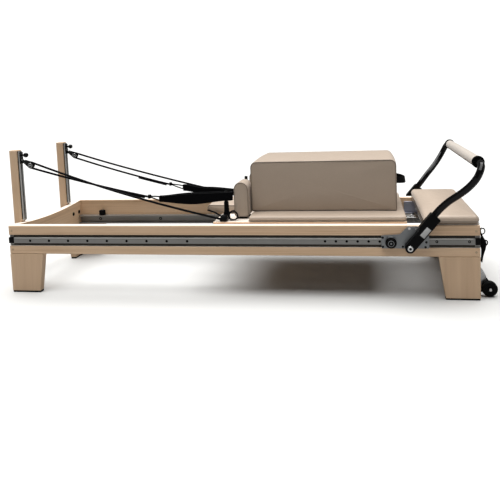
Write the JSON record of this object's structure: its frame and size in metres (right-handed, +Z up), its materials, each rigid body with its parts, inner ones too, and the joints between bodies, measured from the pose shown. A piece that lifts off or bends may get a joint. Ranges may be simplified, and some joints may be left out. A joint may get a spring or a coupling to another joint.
{
  "type": "pilates reformer",
  "caption": "Light maple pilates reformer with a rolling padded carriage, sitting box, headrest, shoulder rests, rope risers with loop handles and a folding footbar.",
  "frame": {"origin": "On the floor under the middle of the bed's overall box; z is 0 at the rubber feet's undersides", "axes": "+X towards the foot end (footbar), +Y across towards the rear side, +Z up"},
  "size_m": [2.4203, 1.0118, 0.717],
  "materials": {
    "maple": "satin light maple",
    "rail_aluminium": "anodised extrusion",
    "grey_steel": "satin grey steel",
    "black_metal": "glossy black powder coat",
    "black_plastic": "matte black moulding",
    "black_rubber": "black rubber",
    "rope_cord": "braided black cord",
    "neoprene": "padded black neoprene",
    "leather": "taupe synthetic leather",
    "foam_grip": "cream padded sleeve"
  },
  "bodies": {
    "root": {"foot_end_board": "maple", "foot_pad_foot_front": "black_rubber", "foot_pad_foot_rear": "black_rubber", "foot_pad_head_front": "black_rubber", "foot_pad_head_rear": "black_rubber", "foot_platform_pad": "leather", "head_end_board": "maple", "inner_rail_front": "rail_aluminium", "inner_rail_rear": "rail_aluminium", "leg_foot_front": "maple", "leg_foot_rear": "maple", "leg_head_front": "maple", "leg_head_rear": "maple", "outer_rail_front": "rail_aluminium", "outer_rail_rear": "rail_aluminium", "pulley_block_front": "black_metal", "pulley_block_rear": "black_metal", "riser_channel_front": "rail_aluminium", "riser_channel_rear": "rail_aluminium", "riser_post_front": "maple", "riser_post_rear": "maple", "rope_front": "rope_cord", "rope_rear": "rope_cord", "side_beam_front": "maple", "side_beam_rear": "maple", "spring_1": "grey_steel", "spring_2": "grey_steel", "spring_3": "grey_steel", "spring_bar": "grey_steel", "wheel_bracket_front": "grey_steel", "wheel_bracket_rear": "grey_steel"},
    "carriage": {"carriage_frame": "grey_steel", "carriage_board": "maple", "carriage_pad": "leather", "shoulder_rest_front": "leather", "shoulder_rest_rear": "leather", "rope_peg_front": "black_plastic", "rope_peg_rear": "black_plastic", "loop_handle_front": "neoprene", "loop_handle_rear": "neoprene"},
    "headrest": {"headrest": "leather"},
    "sitting_box": {"sitting_box": "leather"},
    "footbar_carriage": {"footbar_plate_front": "grey_steel", "footbar_plate_rear": "grey_steel"},
    "footbar": {"footbar_tube": "black_metal", "footbar_grip": "foam_grip", "footbar_sleeve_front": "black_plastic", "footbar_sleeve_rear": "black_plastic"},
    "roller_head_front": {"carriage_roller_head_front": "black_plastic"},
    "roller_head_rear": {"carriage_roller_head_rear": "black_plastic"},
    "roller_foot_front": {"carriage_roller_foot_front": "black_plastic"},
    "roller_foot_rear": {"carriage_roller_foot_rear": "black_plastic"},
    "pin_front": {"pop_pin_front": "black_plastic"},
    "pin_rear": {"pop_pin_rear": "black_plastic"},
    "wheel_front": {"transport_wheel_front": "black_rubber"},
    "wheel_rear": {"transport_wheel_rear": "black_rubber"},
    "sheave_front": {"pulley_sheave_front": "black_plastic"},
    "sheave_rear": {"pulley_sheave_rear": "black_plastic"},
    "knob_front": {"riser_knob_front": "black_plastic"},
    "knob_rear": {"riser_knob_rear": "black_plastic"}
  },
  "joints": [
    {"name": "carriage_slide", "type": "slide", "parent": "root", "child": "carriage", "axis": [1, 0, 0], "range_m": [-0.52, 0], "stiffness_N_per_m": 300, "springref_m": 0.05, "deforming": ["rope_front", "rope_rear", "spring_1", "spring_2", "spring_3"]},
    {"name": "roller_head_front_spin", "type": "hinge", "parent": "carriage", "child": "roller_head_front", "pos_m": [0.014, -0.2875, 0.2753], "axis": [0, 1, 0], "range_deg": [-1400, 5]},
    {"name": "roller_head_rear_spin", "type": "hinge", "parent": "carriage", "child": "roller_head_rear", "pos_m": [0.014, 0.2875, 0.2753], "axis": [0, 1, 0], "range_deg": [-1400, 5]},
    {"name": "roller_foot_front_spin", "type": "hinge", "parent": "carriage", "child": "roller_foot_front", "pos_m": [0.704, -0.2875, 0.2753], "axis": [0, 1, 0], "range_deg": [-1400, 5]},
    {"name": "roller_foot_rear_spin", "type": "hinge", "parent": "carriage", "child": "roller_foot_rear", "pos_m": [0.704, 0.2875, 0.2753], "axis": [0, 1, 0], "range_deg": [-1400, 5]},
    {"name": "headrest_tilt", "type": "hinge", "parent": "carriage", "child": "headrest", "pos_m": [0.029, 0, 0.356], "axis": [0, 1, 0], "range_deg": [0, 35]},
    {"name": "sitting_box_lift", "type": "slide", "parent": "carriage", "child": "sitting_box", "axis": [0, 0, 1], "range_m": [0, 0.35]},
    {"name": "footbar_slide", "type": "slide", "parent": "root", "child": "footbar_carriage", "axis": [1, 0, 0], "range_m": [-0.3, 0]},
    {"name": "footbar_tilt", "type": "hinge", "parent": "footbar_carriage", "child": "footbar", "pos_m": [0.814, 0, 0.251], "axis": [0, -1, 0], "range_deg": [-30, 35]},
    {"name": "pop_pin_front_pull", "type": "slide", "parent": "footbar_carriage", "child": "pin_front", "axis": [0, -1, 0], "range_m": [0, 0.008], "stiffness_N_per_m": 1500, "springref_m": -0.002},
    {"name": "pop_pin_rear_pull", "type": "slide", "parent": "footbar_carriage", "child": "pin_rear", "axis": [0, 1, 0], "range_m": [0, 0.008], "stiffness_N_per_m": 1500, "springref_m": -0.002},
    {"name": "wheel_front_spin", "type": "hinge", "parent": "root", "child": "wheel_front", "pos_m": [1.172, -0.2885, 0.038], "axis": [0, 1, 0], "continuous": true},
    {"name": "wheel_rear_spin", "type": "hinge", "parent": "root", "child": "wheel_rear", "pos_m": [1.172, 0.2885, 0.038], "axis": [0, 1, 0], "continuous": true},
    {"name": "sheave_front_spin", "type": "hinge", "parent": "root", "child": "sheave_front", "pos_m": [-1.106, -0.217, 0.637], "axis": [0, 1, 0], "continuous": true},
    {"name": "sheave_rear_spin", "type": "hinge", "parent": "root", "child": "sheave_rear", "pos_m": [-1.106, 0.217, 0.637], "axis": [0, 1, 0], "continuous": true},
    {"name": "riser_knob_front_pull", "type": "slide", "parent": "root", "child": "knob_front", "axis": [1, 0, 0], "range_m": [0, 0.008], "stiffness_N_per_m": 800, "springref_m": -0.002},
    {"name": "riser_knob_rear_pull", "type": "slide", "parent": "root", "child": "knob_rear", "axis": [1, 0, 0], "range_m": [0, 0.008], "stiffness_N_per_m": 800, "springref_m": -0.002}
  ],
  "couplings": [
    {"joint": "roller_head_front_spin", "follows": "carriage_slide", "rad_per_m": 45.455},
    {"joint": "roller_head_rear_spin", "follows": "carriage_slide", "rad_per_m": 45.455},
    {"joint": "roller_foot_front_spin", "follows": "carriage_slide", "rad_per_m": 45.455},
    {"joint": "roller_foot_rear_spin", "follows": "carriage_slide", "rad_per_m": 45.455}
  ]
}
